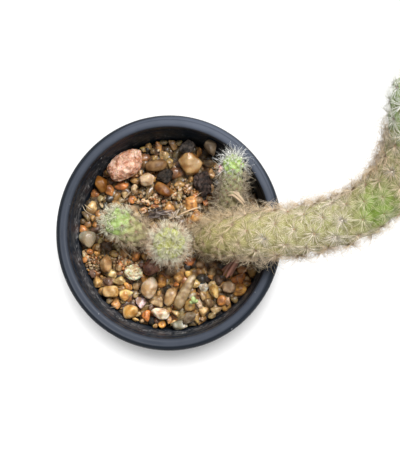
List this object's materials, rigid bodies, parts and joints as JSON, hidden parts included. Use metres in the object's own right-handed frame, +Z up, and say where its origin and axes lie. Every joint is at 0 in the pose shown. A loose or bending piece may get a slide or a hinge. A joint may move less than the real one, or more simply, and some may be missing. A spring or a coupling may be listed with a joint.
{
  "type": "potted ladyfinger cactus",
  "caption": "Ladyfinger cactus in a round black nursery pot with a gravel dressing: one long spiny stem leans out over the rim and turns sideways, short ones stand by it.",
  "frame": {"origin": "middle of the pot's underside, on the surface it stands on", "axes": "+Z up, +X towards the side that the long stem leans out over, +Y towards the side that its tip turns to"},
  "size_m": [0.1617, 0.114, 0.1532],
  "materials": {
    "pot_plastic": "satin",
    "potting_mix": "matte",
    "gravel": "satin",
    "pink_granite": "satin",
    "tan_stone": "satin",
    "amber_stone": "satin",
    "cream_stone": "satin",
    "grey_stone": "satin",
    "black_stone": "satin",
    "purple_stone": "satin",
    "cactus": "matte",
    "dry_flower": "matte",
    "straw": "matte"
  },
  "bodies": {
    "root": {"pot": "pot_plastic", "potting_mix": "potting_mix", "gravel_bed": "gravel", "stem_long": "cactus", "stem_centre": "cactus", "stem_left": "cactus", "stem_right": "cactus", "withered_flower": "dry_flower", "dry_straw": "straw", "stone_pink_granite": "pink_granite", "stone_tan_big": "tan_stone", "stone_tan_oblong": "tan_stone", "stone_tan_block": "tan_stone", "stone_tan_large": "tan_stone", "stone_yellow_tan": "tan_stone", "stone_tooth": "tan_stone", "stone_ochre": "tan_stone", "stone_amber": "amber_stone", "stone_orange_left": "amber_stone", "stone_orange_slab": "amber_stone", "stone_orange_front": "amber_stone", "stone_cream_facet": "cream_stone", "stone_cream_rough": "cream_stone", "stone_cream_brown": "cream_stone", "stone_finger": "cream_stone", "stone_grey_flat": "grey_stone", "stone_grey_back": "grey_stone", "stone_green_grey": "grey_stone", "stone_olive_grey": "grey_stone", "stone_pinkish_grey": "grey_stone", "stone_black_back": "black_stone", "stone_black_front": "black_stone", "stone_purple_brown": "purple_stone"}
  },
  "joints": []
}
